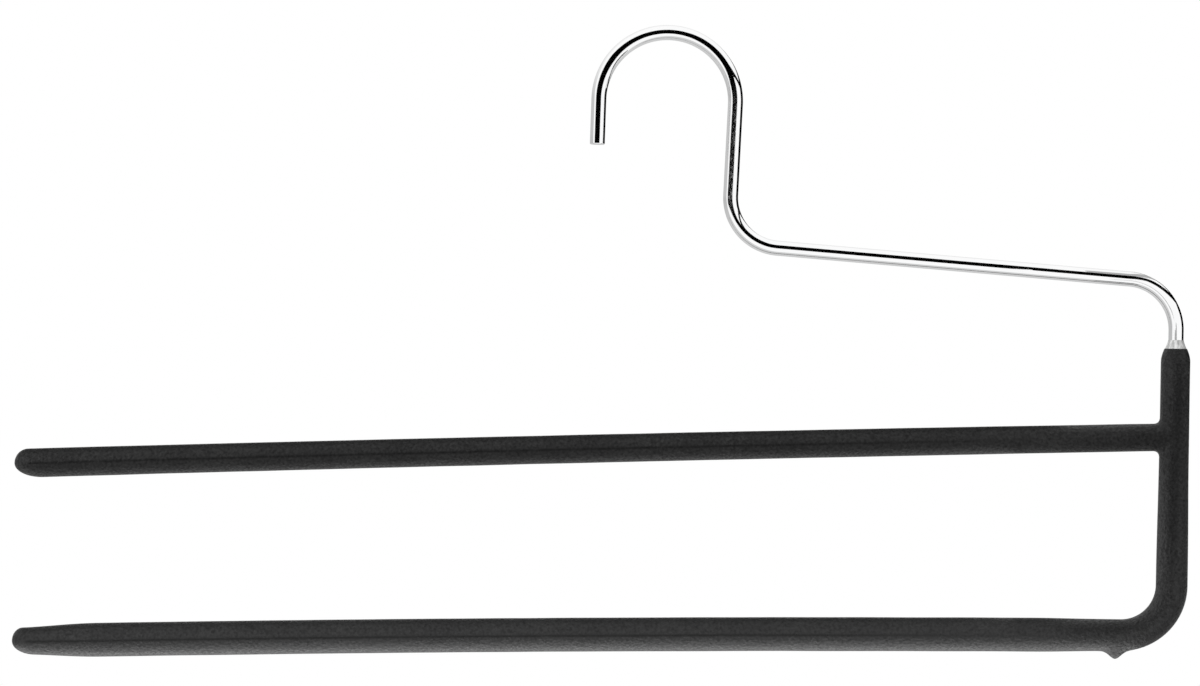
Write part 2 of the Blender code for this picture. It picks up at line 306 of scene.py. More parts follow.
def straight_place(tree, stretch=1.0):
    """Where a point was before the wire was bent, with the length pressed together to stretch the marks."""
    place = add_node(tree, "ShaderNodeAttribute", attribute_name=STRAIGHT).outputs["Vector"]
    sockets = {"Vector": place, "Scale": (1, 1, stretch)}
    return add_node(tree, "ShaderNodeMapping", sockets).outputs["Vector"]


def scuffed_face(tree):
    """1 along the front of the neck, where the wire lay in the bending tool, and 0 away from it."""
    along = add_node(tree, "ShaderNodeSeparateXYZ", {0: straight_place(tree)}).outputs["Z"]
    depth = add_node(tree, "ShaderNodeSeparateXYZ", {0: object_place(tree)}).outputs["Y"]
    front = map_range(tree, depth, -WIRE_RADIUS, SCUFF_DEPTH - WIRE_RADIUS, 1, 0)
    after_hook = map_range(tree, along, hook_end - SCUFF_FADE, hook_end, 0, 1)
    before_bend = map_range(tree, along, neck_end, neck_end + SCUFF_FADE, 1, 0)
    return math_node(tree, "MULTIPLY", front, math_node(tree, "MULTIPLY", after_hook, before_bend))


def make_chrome():
    material, tree, shader = new_finish("polished_chrome")
    evenly = straight_place(tree)
    draw_lines = speckle(tree, straight_place(tree, DRAW_STRETCH), 0.22 * MM, 3)
    ripple = speckle(tree, evenly, 1.6 * MM)
    haze = speckle(tree, evenly, 9 * MM, 4)
    pits = speckle(tree, evenly, 0.5 * MM)
    scuffs = spread(tree, speckle(tree, straight_place(tree, SCUFF_STRETCH), 0.6 * MM, 3), 0.0, 0.28)
    scuffs = math_node(tree, "MULTIPLY", scuffs, scuffed_face(tree))
    lines = relief(tree, draw_lines, 0.0007 * MM)
    waver = relief(tree, ripple, 0.0015 * MM, lines)
    feed(tree, shader, {
        "Metallic": 1.0,
        "Base Color": shades(tree, haze, (0.945, 0.95, 0.955), (0.98, 0.98, 0.98)),
        "Roughness": math_node(tree, "ADD", spread(tree, haze, 0.035, 0.085), scuffs),
        "Normal": relief(tree, pits, 0.0006 * MM, waver),
    })
    return material


polished_chrome = make_chrome()
print("finish:", polished_chrome.name)

# %% [markdown]
# ## Bare steel under the coat
# Nobody sees the upper rod once it is dipped, but it is a real piece, so it gets a real finish: drawn
# steel, grey, with lines along it and a few darker stains.

# %% The drawn steel finish
STAIN_STRETCH = 0.4


def make_drawn_steel():
    material, tree, shader = new_finish("drawn_steel")
    draw_lines = speckle(tree, straight_place(tree, DRAW_STRETCH), 0.25 * MM, 3)
    stains = speckle(tree, straight_place(tree, STAIN_STRETCH), 5 * MM, 5)
    feed(tree, shader, {
        "Metallic": 1.0,
        "Base Color": shades(tree, stains, (0.33, 0.33, 0.34), (0.52, 0.52, 0.52)),
        "Roughness": spread(tree, draw_lines, 0.3, 0.48),
        "Normal": relief(tree, draw_lines, 0.003 * MM),
    })
    return material


drawn_steel = make_drawn_steel()
print("finish:", drawn_steel.name)

# %% [markdown]
# ## Sweeping a wire with Geometry Nodes
# A wire is a circle carried along a line. A curve with a bevel would do that, but Geometry Nodes also
# lets us ease the cut ends and store each point's place on the straight wire. The tree takes four named
# inputs, works out how far each point of the line is from the nearer end, and shrinks the circle there
# by a quarter round.

# %% The wire tree
WIRE_SIDES = 64


def make_wire_tree():
    tree = bpy.data.node_groups.new("sweep_a_wire", "GeometryNodeTree")
    tree.interface.new_socket("Geometry", in_out="OUTPUT", socket_type="NodeSocketGeometry")
    kinds = {
        "Geometry": "Geometry",
        "Radius": "Float",
        "End easing": "Float",
        "Sides": "Int",
        "Finish": "Material",
    }
    for name, kind in kinds.items():
        tree.interface.new_socket(name, in_out="INPUT", socket_type="NodeSocket" + kind)
    given = add_node(tree, "NodeGroupInput").outputs

    along = add_node(tree, "GeometryNodeSplineParameter").outputs["Length"]
    whole = add_node(tree, "GeometryNodeSplineLength").outputs["Length"]
    from_end = math_node(tree, "MINIMUM", along, math_node(tree, "SUBTRACT", whole, along))
    share = math_node(tree, "MINIMUM", math_node(tree, "DIVIDE", from_end, given["End easing"]), 1.0)
    flat = math_node(tree, "POWER", math_node(tree, "SUBTRACT", 1.0, share), 2.0)
    quarter_round = math_node(tree, "SQRT", math_node(tree, "SUBTRACT", 1.0, flat))
    lost = math_node(tree, "MULTIPLY", given["End easing"], math_node(tree, "SUBTRACT", 1.0, quarter_round))
    size = math_node(tree, "SUBTRACT", given["Radius"], lost)

    line = add_node(tree, "GeometryNodeCaptureAttribute", {"Geometry": given["Geometry"]})
    line.capture_items.new("FLOAT", "Along")
    feed(tree, line, {"Along": along})
    sockets = {"Resolution": given["Sides"], "Radius": 1.0}
    circle = add_node(tree, "GeometryNodeCurvePrimitiveCircle", sockets)
    rim = add_node(tree, "GeometryNodeCaptureAttribute", {"Geometry": circle.outputs["Curve"]})
    rim.capture_items.new("VECTOR", "Round")
    feed(tree, rim, {"Round": add_node(tree, "GeometryNodeInputPosition").outputs["Position"]})

    swept = add_node(tree, "GeometryNodeCurveToMesh", {
        "Curve": line.outputs["Geometry"],
        "Profile Curve": rim.outputs["Geometry"],
        "Scale": size,
        "Fill Caps": True,
    })
    sockets = {0: rim.outputs["Round"], "Scale": given["Radius"]}
    round_place = add_node(tree, "ShaderNodeVectorMath", sockets, operation="SCALE").outputs["Vector"]
    parts = add_node(tree, "ShaderNodeSeparateXYZ", {0: round_place}).outputs
    place = add_node(tree, "ShaderNodeCombineXYZ", {0: parts["X"], 1: parts["Y"], 2: line.outputs["Along"]})
    sockets = {"Geometry": swept.outputs["Mesh"], "Name": STRAIGHT, "Value": place.outputs["Vector"]}
    stored = add_node(
        tree, "GeometryNodeStoreNamedAttribute", sockets, data_type="FLOAT_VECTOR", domain="POINT",
    )
    smooth = add_node(tree, "GeometryNodeSetShadeSmooth", {"Geometry": stored.outputs["Geometry"]})
    real = add_node(tree, "GeometryNodeRealizeInstances", {"Geometry": smooth.outputs["Geometry"]})
    sockets = {"Geometry": real.outputs["Geometry"], "Material": given["Finish"]}
    finished = add_node(tree, "GeometryNodeSetMaterial", sockets)
    add_node(tree, "NodeGroupOutput", {"Geometry": finished.outputs["Geometry"]})
    return tree


wire_tree = make_wire_tree()
print("wire tree:", len(wire_tree.nodes), "nodes")

# %% [markdown]
# ## From line to wire
# The tree needs a line to work on: a poly curve through the stations of the bender's line, with extra
# points close to the ends, where the circle shrinks. The inputs are set by their identifiers before
# Blender first looks at the object. The swept result is then copied to a plain mesh, and the curve and
# its modifier go.

# %% Sweep the chrome wire and the steel rod
END_EASING = 0.4 * MM
END_STEPS = 8
WIRE_STEP = 4.0 * MM
WIRE_TURN_STEP = 2.0 * DEG
LEAST_STEP = 0.02 * MM


def merged(keys, fill):
    """The key distances in order, with each fill that lies between them and not too close to another."""
    low, high = min(keys), max(keys)
    found = sorted(set(keys))
    for distance in fill:
        if low < distance < high and min(abs(distance - other) for other in keys) > LEAST_STEP:
            found.append(distance)
    return sorted(set(found))


def new_object(name, data):
    """An object with this data, put into the scene."""
    made = bpy.data.objects.new(name, data)
    bpy.context.scene.collection.objects.link(made)
    return made


def plain_mesh(source, name):
    """Copies what the modifiers make of an object into a plain mesh object, and removes the source."""
    evaluated = source.evaluated_get(bpy.context.evaluated_depsgraph_get())
    piece = new_object(name, bpy.data.meshes.new_from_object(evaluated))
    piece.data.name = name
    bpy.data.objects.remove(source)
    return piece


def sweep_wire(name, line, first, finish):
    """A wire along the line, from this distance to its end."""
    last = line.length
    ease = [END_EASING * (1 - math.cos(math.pi / 2 * i / END_STEPS)) for i in range(END_STEPS + 1)]
    keys = [first + e for e in ease] + [last - e for e in ease]
    distances = merged(keys, line.stations(WIRE_STEP, WIRE_TURN_STEP))
    curve = bpy.data.curves.new(name + "_line", "CURVE")
    curve.dimensions = "3D"
    spline = curve.splines.new("POLY")
    spline.points.add(len(distances) - 1)
    for point, distance in zip(spline.points, distances):
        point.co = (*line.point(distance, 0, 0), 1)
    source = new_object(name + "_line", curve)
    sweep = source.modifiers.new("Sweep", "NODES")
    sweep.node_group = wire_tree
    sizes = {"Radius": WIRE_RADIUS, "End easing": END_EASING, "Sides": WIRE_SIDES, "Finish": finish}
    for socket in wire_tree.interface.items_tree:
        if socket.in_out == "INPUT" and socket.name in sizes:
            sweep[socket.identifier] = sizes[socket.name]
    return plain_mesh(source, name)


def report(piece, node):
    """Prints a piece's triangles and how far its box lies from its CAD node's."""
    points = [vertex.co for vertex in piece.data.vertices]
    low = Vector([min(p[axis] for p in points) for axis in range(3)])
    high = Vector([max(p[axis] for p in points) for axis in range(3)])
    off = max(abs(a - b) for found, cad in zip((low, high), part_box(node)) for a, b in zip(found, cad))
    triangles = sum(len(face.vertices) - 2 for face in piece.data.polygons)
    print(f"{piece.name}: {triangles} triangles, box within {1000 * off:.2f} mm of {node}")


WELD_LENGTH = 1.2 * MM
SEAT_GAP = 0.25 * MM
weld_end = WIRE_RADIUS + SEAT_GAP + WELD_LENGTH
chrome_wire = sweep_wire("bent_chrome_wire", long_wire, 0.0, polished_chrome)
steel_rod = sweep_wire("upper_arm_core", upper_rod, weld_end + SEAT_GAP, drawn_steel)
report(chrome_wire, "frame_wire")
report(steel_rod, "upper_arm_rod")

# %% [markdown]
# ## How thick the coats are
# A dip coat is not even. It starts at a thin lip, drains down the upright, gathers in the bend and
# under the lower arm and thins again at the noses. Each surface of a coat is therefore a rule: the
# radius at each distance along the wire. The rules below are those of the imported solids, with two
# touches that only show close up: the lip is rounded, and the thickness wavers by a few hundredths of a
# millimetre as the vinyl set.

# %% Coat sizes
COLLAR_DROP = 2.9 * MM
COLLAR_HEIGHT = 2.6 * MM
COLLAR_CURVE = 1.35
FILM_GAP = 0.02 * MM
FILM_EDGE = 0.05 * MM
FILM_TIP = 1.05 * MM
GRIP_INNER_RADIUS = WIRE_RADIUS + 0.95 * MM
FILM_OUTER_RADIUS = GRIP_INNER_RADIUS - FILM_GAP
GRIP_TIP_COVER = 1.3 * MM
GRIP_TIP_WALL = 3.5 * MM
LIP_WALL = 0.2 * MM
LIP_ROUND = 0.18 * MM
GRIP_SHOULDER_HEIGHT = 4.0 * MM
UPRIGHT_GRIP_WALL = 1.2 * MM
BEND_GRIP_WALL = 1.55 * MM
LOWER_GRIP_WALL = 1.87 * MM
LOWER_NOSE_WALL = 0.8 * MM
LOWER_NOSE_LENGTH = 4.9 * MM
LOWER_SWELL_LENGTH = 26.0 * MM
UPPER_ROOT_WALL = 0.92 * MM
UPPER_TIP_WALL = 1.15 * MM
UPPER_NOSE_LENGTH = 6.4 * MM
NOSE_DROOP = 0.34
collar_top = upright_start + COLLAR_DROP
grip_top = collar_top + COLLAR_HEIGHT


def eased(share):
    """A share from 0 to 1 that starts and ends level."""
    share = min(max(share, 0.0), 1.0)
    return share * share * (3 - 2 * share)


def rounding(from_tip, length):
    """The share of the full radius this far from a tip that is rounded over this length."""
    return math.sqrt(max(0.0, 1 - max(0.0, 1 - from_tip / length) ** 2))


def grip_on_frame(distance):
    """The black coat's radius along the upright and the lower arm, before its tip is rounded."""
    from_tip = lower_arm_end + GRIP_TIP_COVER + GRIP_TIP_WALL - distance
    from_lip = distance - grip_top
    if from_lip < GRIP_SHOULDER_HEIGHT:
        lip = LIP_WALL * rounding(from_lip, LIP_ROUND)
        return GRIP_INNER_RADIUS + lip + (UPRIGHT_GRIP_WALL - LIP_WALL) * math.sin(
            math.pi / 2 * from_lip / GRIP_SHOULDER_HEIGHT
        )
    if distance < lower_arm_start:
        share = eased((distance - tee) / (upright_end - tee))
        thin, thick = UPRIGHT_GRIP_WALL, BEND_GRIP_WALL
    elif from_tip > LOWER_SWELL_LENGTH:
        share = eased((distance - lower_arm_start) / LOWER_SWELL_LENGTH)
        thin, thick = BEND_GRIP_WALL, LOWER_GRIP_WALL
    else:
        share = eased(from_tip / LOWER_SWELL_LENGTH)
        thin, thick = LOWER_NOSE_WALL, LOWER_GRIP_WALL
    return GRIP_INNER_RADIUS + thin + (thick - thin) * share


def grip_on_arm(distance):
    """The black coat's radius along the upper arm: it grows a little towards the tip."""
    share = distance / (upper_rod.length + GRIP_TIP_COVER + GRIP_TIP_WALL)
    return GRIP_INNER_RADIUS + UPPER_ROOT_WALL + (UPPER_TIP_WALL - UPPER_ROOT_WALL) * share


def film_on_frame(distance):
    """The clear coat's radius: from a film on the wire, through the collar, to its full thickness."""
    edge = WIRE_RADIUS + FILM_GAP + FILM_EDGE
    share = min(max((distance - collar_top) / COLLAR_HEIGHT, 0.0), 1.0)
    return edge + (FILM_OUTER_RADIUS - edge) * share**COLLAR_CURVE


print(f"lip radius {1000 * grip_on_frame(grip_top + LIP_ROUND):.2f} mm, "
      f"lower arm radius {1000 * grip_on_frame(lower_arm_start + LOWER_SWELL_LENGTH):.2f} mm")

# %% [markdown]
# ## A skin over two wires
# The hard spot of a coat is the tee, where the arm's skin flows into the upright's. Two tubes and a
# Boolean would leave a crease there, and a remesh would lose the long clean rows of faces. So the skin
# is woven: rings round the upright leave a window on the arm's side, the window's edge becomes the
# first ring of the arm, and a few rings between the two make the throat. The rings at the throat are
# then settled onto the surface that wet vinyl would take.


# %% Rules of a skin
class Skin:
    """One surface of a coat, over the frame from its top to the lower arm's tip, and over the upper arm."""

    def __init__(self, top, cover, frame_nose, arm_nose, throat, on_frame, on_arm, droop=0.0):
        self.top = top
        self.frame_end = lower_arm_end + cover
        self.arm_end = upper_rod.length + cover
        self.frame_nose = frame_nose
        self.arm_nose = arm_nose
        self.throat = throat
        self.on_frame = on_frame
        self.on_arm = on_arm
        self.droop = droop

    def nose_length(self, length, angle):
        """How far a nose's rounding reaches: less on top, where the angle is 0, than underneath."""
        return length * (1 - self.droop * math.cos(angle))

    def frame_radius(self, distance, angle):
        nose = self.nose_length(self.frame_nose, angle)
        return self.on_frame(distance) * rounding(self.frame_end - distance, nose)

    def arm_radius(self, distance, angle):
        nose = self.nose_length(self.arm_nose, angle)
        return self.on_arm(distance) * rounding(self.arm_end - distance, nose)

    def nose_stations(self, end, length, count):
        """Distances along a rounded tip, close together towards its end."""
        reach = self.nose_length(length, math.pi)
        return [end - reach * (1 - math.sin(math.pi / 2 * i / count)) for i in range(count)]


# How finely a skin is woven: sides of a ring, rows at the window, rings in the throat and on the noses,
# and the longest steps along the wire and round its bends.
Weave = namedtuple("Weave", "sides rows throat_rings nose_rings step turn_step")


# %% Rings, and what joins them
def ring(bm, line, distance, radius, count):
    """New vertices round the line, from the radius as a function of the distance and the angle."""
    angles = [2 * math.pi * i / count for i in range(count)]
    return [bm.verts.new(line.point(distance, radius(distance, angle), angle)) for angle in angles]


def bridge(bm, first, second, left_out=()):
    """Quads between two rings of as many vertices, but for the places left out."""
    for i in range(len(first)):
        after = (i + 1) % len(first)
        if i not in left_out:
            bm.faces.new((first[i], first[after], second[after], second[i]))


def close_tip(bm, last, point):
    """Closes a nose with a fan of triangles."""
    tip = bm.verts.new(point)
    for i in range(len(last)):
        bm.faces.new((last[i], last[(i + 1) % len(last)], tip))


# %% The window and the throat
THROAT_HANDLE = 0.4
tee_centre = long_wire.point(tee, 0, 0)


def window_edge(rings, first, last, sides):
    """The edge of the window on the upright's arm side, from the middle of its top row round by +Y."""
    quarter = sides // 4
    down = range(first + 1, last)
    loop = [rings[first][k] for k in range(quarter + 1)]
    loop += [rings[i][quarter] for i in down]
    loop += [rings[last][k] for k in range(quarter, -quarter - 1, -1)]
    loop += [rings[i][-quarter] for i in reversed(down)]
    return loop + [rings[first][k] for k in range(-quarter, 0)]


def throat_rings(bm, loop, foot, root, count):
    """Rings from the window's edge to the arm's first ring, on curves that leave both surfaces smoothly."""
    axis = long_wire.direction(tee)
    rows = [[] for _ in range(count)]
    for start, end in zip(loop, foot):
        outward = start.co - tee_centre
        outward = (outward - axis * outward.dot(axis)).normalized()
        across = end.co - start.co
        handle = THROAT_HANDLE * across.length
        leaving = start.co + (across - outward * across.dot(outward)).normalized() * handle
        arriving = end.co - upper_rod.direction(root) * handle
        for i, row in enumerate(rows):
            t = (i + 1) / (count + 1)
            s = 1 - t
            ends = start.co * s**3 + end.co * t**3
            row.append(bm.verts.new(ends + 3 * s * t * (leaving * s + arriving * t)))
    return rows


# %% Weave a skin
def add_skin(bm, skin, weave, details=()):
    """Weaves a surface that is closed at both tips. Returns its ring at the top and the throat's rings."""
    hole = skin.on_arm(0) + skin.throat
    rows = [tee + hole * (2 * i / weave.rows - 1) for i in range(weave.rows + 1)]
    steps = long_wire.stations(weave.step, weave.turn_step)
    steps = [d for d in steps if not rows[0] < d < rows[-1]]
    nose = skin.nose_stations(skin.frame_end, skin.frame_nose, weave.nose_rings)
    distances = merged([skin.top, *details, *rows, *nose], steps)
    main = [ring(bm, long_wire, d, skin.frame_radius, weave.sides) for d in distances]
    quarter = weave.sides // 4
    facing = {k % weave.sides for k in range(-quarter, quarter)}
    for distance, first, second in zip(distances, main, main[1:]):
        bridge(bm, first, second, facing if rows[0] <= distance < rows[-1] else ())
    close_tip(bm, main[-1], long_wire.point(skin.frame_end, 0, 0))

    loop = window_edge(main, distances.index(rows[0]), distances.index(rows[-1]), weave.sides)
    root = skin.on_frame(tee) + skin.throat
    nose = skin.nose_stations(skin.arm_end, skin.arm_nose, weave.nose_rings)
    distances = merged([root, *nose], upper_rod.stations(weave.step, weave.turn_step))
    arm = [ring(bm, upper_rod, d, skin.arm_radius, len(loop)) for d in distances]
    throat = throat_rings(bm, loop, arm[0], root, weave.throat_rings)
    rings = [loop, *throat, *arm]
    for first, second in zip(rings, rings[1:]):
        bridge(bm, first, second)
    close_tip(bm, arm[-1], upper_rod.point(skin.arm_end, 0, 0))
    unwoven = [v for v in bm.verts if not v.link_faces]
    bmesh.ops.delete(bm, geom=unwoven, context="VERTS")
    return main[0], throat


# %% [markdown]
# ## Settling the throat
# Wet vinyl rounds an inside corner and leaves a flush surface flush. A smooth minimum of the two tubes'
# distances does the same, if it blends only as far as the two surfaces face different ways. Each vertex
# of the throat takes a few Newton steps onto it.

# %% Settle vertices between the two tubes
TEE_BLEND = 2.0 * MM
FLUSH_BLEND = 0.35
SETTLING_STEPS = 8


def settle_throat(vertices, skin):
    """Moves the throat's vertices onto the smooth surface between the upright's tube and the arm's."""
    upright, arm = long_wire.direction(tee), upper_rod.direction(0)
    for vertex in vertices:
        for _ in range(SETTLING_STEPS):
            reach = vertex.co - tee_centre
            down, out = reach.dot(upright), reach.dot(arm)
            from_upright, from_arm = reach - upright * down, reach - arm * out
            upright_gap = from_upright.length - skin.on_frame(tee + down)
            arm_gap = from_arm.length - skin.on_arm(out)
            from_upright.normalize()
            from_arm.normalize()
            corner = 1 - from_upright.dot(from_arm)
            width = TEE_BLEND * (FLUSH_BLEND + (1 - FLUSH_BLEND) * corner)
            share = min(max(0.5 + 0.5 * (arm_gap - upright_gap) / width, 0.0), 1.0)
            gap = arm_gap + (upright_gap - arm_gap) * share - width * share * (1 - share)
            slope = from_upright * share + from_arm * (1 - share)
            vertex.co -= slope * (gap / slope.length_squared)


# %% [markdown]
# ## Satin black vinyl
# Dipped vinyl is not paint: it is soft, deep black and only half shiny. Close up its skin is finely
# stippled, with a wider orange-peel swell below that. Both are bumps here, since they are finer than
# the mesh. The specks of the stipple also differ in sheen and depth of black, and the black is a shade
# greyer in places. A faint darker line along the middle of each arm's side is a painted reflection: it
# stands in for the dark reflection of the camera. No noise can know where that is, so the coat's mesh
# will mark it in an attribute.

# %% The black vinyl finish
# The attribute that carries the painted reflection line along the arms.
PAINTED_REFLECTION_LINE = "painted_reflection_line"


def make_black_vinyl():
    material, tree, shader = new_finish("satin_black_vinyl")
    place = object_place(tree)
    stipple = speckle(tree, place, 0.85 * MM, 4)
    peel = speckle(tree, place, 2.4 * MM, 2)
    cloud = speckle(tree, place, 14 * MM, 4)
    black = shades(tree, cloud, (0.022, 0.022, 0.0225), (0.03, 0.03, 0.03))
    black = blend(tree, spread(tree, stipple, 0, 0.9), black, (0.005, 0.005, 0.005))
    # Painted reflection: along the marked line the base colour goes towards black, for the camera's dark
    # reflection.
    line = add_node(tree, "ShaderNodeAttribute", attribute_name=PAINTED_REFLECTION_LINE).outputs["Fac"]
    line = math_node(tree, "MULTIPLY", line, spread(tree, peel, 0.7, 1.2))
    swell = relief(tree, peel, 0.04 * MM)
    feed(tree, shader, {
        "Base Color": blend(tree, line, black, (0.0, 0.0, 0.0)),
        "Roughness": spread(tree, stipple, 0.26, 0.56),
        "Specular IOR Level": 0.3,
        "Normal": relief(tree, stipple, 0.4 * MM, swell),
    })
    return material


satin_vinyl = make_black_vinyl()
print("finish:", satin_vinyl.name)

# %% [markdown]
# ## The black grip coat
# The coat is a closed shell: an outside, an inside that lies on the clear film, and a lip that joins
# them at the top. Where the coat ran down at the foot of the bend, one drip set under the arm. The drip
# is drawn down out of the underside, and the slow wavering of the thickness moves each vertex a little
# along its normal. The painted reflection lines along the arms' sides are marked in the attribute that
# the finish reads. They grow from nothing at the arms' roots.

# %% Drip and waver
DRIP_OFFSET = 1.7 * MM
DRIP_HEIGHT = 2.4 * MM
DRIP_SPREAD = 2.35 * MM
WAVER_DEPTH = 0.05 * MM
WAVER_LENGTH = 16 * MM


def add_drip(vertices):
    """Draws the underside of the lower arm down into a drip."""
    x, z, _ = long_wire.at(lower_arm_start + DRIP_OFFSET)
    for vertex in vertices:
        away = math.hypot(vertex.co.x - x, vertex.co.y)
        if vertex.co.z < z:
            vertex.co.z -= DRIP_HEIGHT * math.exp(-((away / DRIP_SPREAD) ** 2))


def add_waver(bm, vertices):
    """Lets the thickness wander a little, as a dip coat's does."""
    bmesh.ops.recalc_face_normals(bm, faces=bm.faces)
    bm.normal_update()
    lip_z = long_wire.at(grip_top)[1]
    for vertex in vertices:
        steady = eased((lip_z - vertex.co.z) / GRIP_SHOULDER_HEIGHT)
        vertex.co += vertex.normal * (WAVER_DEPTH * steady * noise.noise(vertex.co / WAVER_LENGTH))


# %% Mark the painted reflection lines
REFLECTION_LINE_WIDTH = 0.6 * MM
REFLECTION_LINE_FADE = 120 * MM
UPPER_REFLECTION_LINE_STRENGTH = 0.75
LOWER_REFLECTION_LINE_STRENGTH = 1.3
tee_radius = grip_on_frame(tee)


def paint_reflection_lines(vertices, reflection_line_layer):
    """Marks the painted reflection line mid-side on the arms, from their roots to their noses."""
    spans = (
        (upper_rod, tee_radius, upper_rod.length, UPPER_REFLECTION_LINE_STRENGTH),
        (long_wire, lower_arm_start, lower_arm_end, LOWER_REFLECTION_LINE_STRENGTH),
    )
    for line, first, last, full in spans:
        root = line.at(first)[0]
        for vertex in vertices:
            distance = first + root - vertex.co.x
            if first < distance < last:
                height = vertex.co.z - line.at(distance)[1]
                strength = full * eased((distance - first) / REFLECTION_LINE_FADE)
                vertex[reflection_line_layer] = max(vertex[reflection_line_layer], strength * (1 - abs(height) / REFLECTION_LINE_WIDTH))


# %% Build the black coat
GRIP_SIDES = 64
GRIP_WEAVE = Weave(
    sides=GRIP_SIDES, rows=24, throat_rings=9, nose_rings=18, step=1.6 * MM, turn_step=2.5 * DEG,
)
LINING_WEAVE = Weave(
    sides=GRIP_SIDES, rows=12, throat_rings=2, nose_rings=6, step=20 * MM, turn_step=6 * DEG,
)
DRIP_STEP = 0.4 * MM
DRIP_REACH = 12
LIP_ROUND_STEPS = 4
LIP_STEPS = 14


def mesh_piece(name, bm, finish):
    """Turns the woven mesh into an object with its faces outwards, smooth all over."""
    bmesh.ops.recalc_face_normals(bm, faces=bm.faces)
    mesh = bpy.data.meshes.new(name)
    bm.to_mesh(mesh)
    bm.free()
    mesh.shade_smooth()
    mesh.materials.append(finish)
    return new_object(name, mesh)


def build_black_coat(finish):
    cover = GRIP_TIP_COVER + GRIP_TIP_WALL
    outside = Skin(
        top=grip_top, cover=cover, frame_nose=LOWER_NOSE_LENGTH, arm_nose=UPPER_NOSE_LENGTH,
        throat=TEE_BLEND, on_frame=grip_on_frame, on_arm=grip_on_arm, droop=NOSE_DROOP,
    )
    inside = Skin(
        top=grip_top, cover=GRIP_TIP_COVER, frame_nose=GRIP_TIP_COVER, arm_nose=GRIP_TIP_COVER,
        throat=SEAT_GAP, on_frame=lambda _: GRIP_INNER_RADIUS, on_arm=lambda _: GRIP_INNER_RADIUS,
    )
    drip = lower_arm_start + DRIP_OFFSET
    details = [drip + DRIP_STEP * i for i in range(-DRIP_REACH, DRIP_REACH + 1)]
    steps = range(1, LIP_ROUND_STEPS + 1)
    details += [grip_top + LIP_ROUND * (i / LIP_ROUND_STEPS) ** 2 for i in steps]
    details += [grip_top + GRIP_SHOULDER_HEIGHT * i / LIP_STEPS for i in range(2, LIP_STEPS + 1)]
    bm = bmesh.new()
    reflection_line_layer = bm.verts.layers.float.new(PAINTED_REFLECTION_LINE)
    rim, throat = add_skin(bm, outside, GRIP_WEAVE, details)
    settle_throat([vertex for row in throat for vertex in row], outside)
    outer = list(bm.verts)
    paint_reflection_lines(outer, reflection_line_layer)
    add_drip(outer)
    add_waver(bm, outer)
    inner_rim, _ = add_skin(bm, inside, LINING_WEAVE)
    bridge(bm, rim, inner_rim)
    return mesh_piece("black_dip_coat", bm, finish)


black_coat = build_black_coat(satin_vinyl)
report(black_coat, "black_grip_coat")

# %% [markdown]
# ## The clear film and its collar
# The first dip was clear. Most of it is hidden under the black, but above the lip a few millimetres
# show as a pale, slightly cloudy collar that thins out on the chrome. It is woven by the same function
# with its own rules. The vinyl lets a little light through and scatters the rest, and it has streaks
# where it drained. They are a noise stretched along the upright, and a shift picks a place in it that
# has a light streak for the middle of the collar and darker ones to its left: a painted highlight and
# painted shade on top of the real streaks.

# %% The clear vinyl finish
# The shift places a light streak in the collar's middle: a painted highlight, with painted shade to its
# left.
HIGHLIGHT_STREAK_SHIFT = (5 * MM, 0, 0)
DRAIN_STRETCH = (1, 1, 0.15)


def make_clear_vinyl():
    material, tree, shader = new_finish("cloudy_clear_vinyl")
    place = object_place(tree)
    sockets = {"Vector": place, "Location": HIGHLIGHT_STREAK_SHIFT, "Scale": DRAIN_STRETCH}
    drained = add_node(tree, "ShaderNodeMapping", sockets).outputs["Vector"]
    streaks_and_highlight = speckle(tree, drained, 0.8 * MM, 3)
    cloud = speckle(tree, place, 0.9 * MM, 3)
    feed(tree, shader, {
        # Base colour from the drain streaks, placed so that they also paint the highlight and the darker
        # side.
        "Base Color": shades(tree, streaks_and_highlight, (0.38, 0.38, 0.375), (1.0, 1.0, 0.995)),
        "Roughness": spread(tree, cloud, 0.05, 0.25),
        "IOR": 1.5,
        "Transmission Weight": 0.1,
        "Normal": relief(tree, streaks_and_highlight, 0.06 * MM),
    })
    return material


cloudy_vinyl = make_clear_vinyl()
print("finish:", cloudy_vinyl.name)

# %% Build the clear coat
FILM_WEAVE = Weave(
    sides=48, rows=12, throat_rings=2, nose_rings=6, step=20 * MM, turn_step=5 * DEG,
)
COLLAR_STEPS = 14


def build_clear_coat(finish):
    outside = Skin(
        top=collar_top, cover=FILM_TIP, frame_nose=FILM_TIP, arm_nose=FILM_TIP,
        throat=SEAT_GAP, on_frame=film_on_frame, on_arm=lambda _: FILM_OUTER_RADIUS,
    )
    inner_radius = WIRE_RADIUS + FILM_GAP
    inner_nose = SEAT_GAP + END_EASING
    inside = Skin(
        top=collar_top, cover=SEAT_GAP, frame_nose=inner_nose, arm_nose=inner_nose,
        throat=SEAT_GAP, on_frame=lambda _: inner_radius, on_arm=lambda _: inner_radius,
    )
    details = [collar_top + COLLAR_HEIGHT * i / COLLAR_STEPS for i in range(1, COLLAR_STEPS + 1)]
    bm = bmesh.new()
    rim, _ = add_skin(bm, outside, FILM_WEAVE, details)
    inner_rim, _ = add_skin(bm, inside, FILM_WEAVE)
    bridge(bm, rim, inner_rim)
    return mesh_piece("clear_dip_coat", bm, finish)


clear_coat = build_clear_coat(cloudy_vinyl)
report(clear_coat, "clear_base_coat")

# %% [markdown]
# ## The weld
# The nugget that joins the rod to the upright is right as it was packed, so it stays and only gets a
# finish: steel that was molten for a moment, rough, and straw to blue where the heat tinted it.


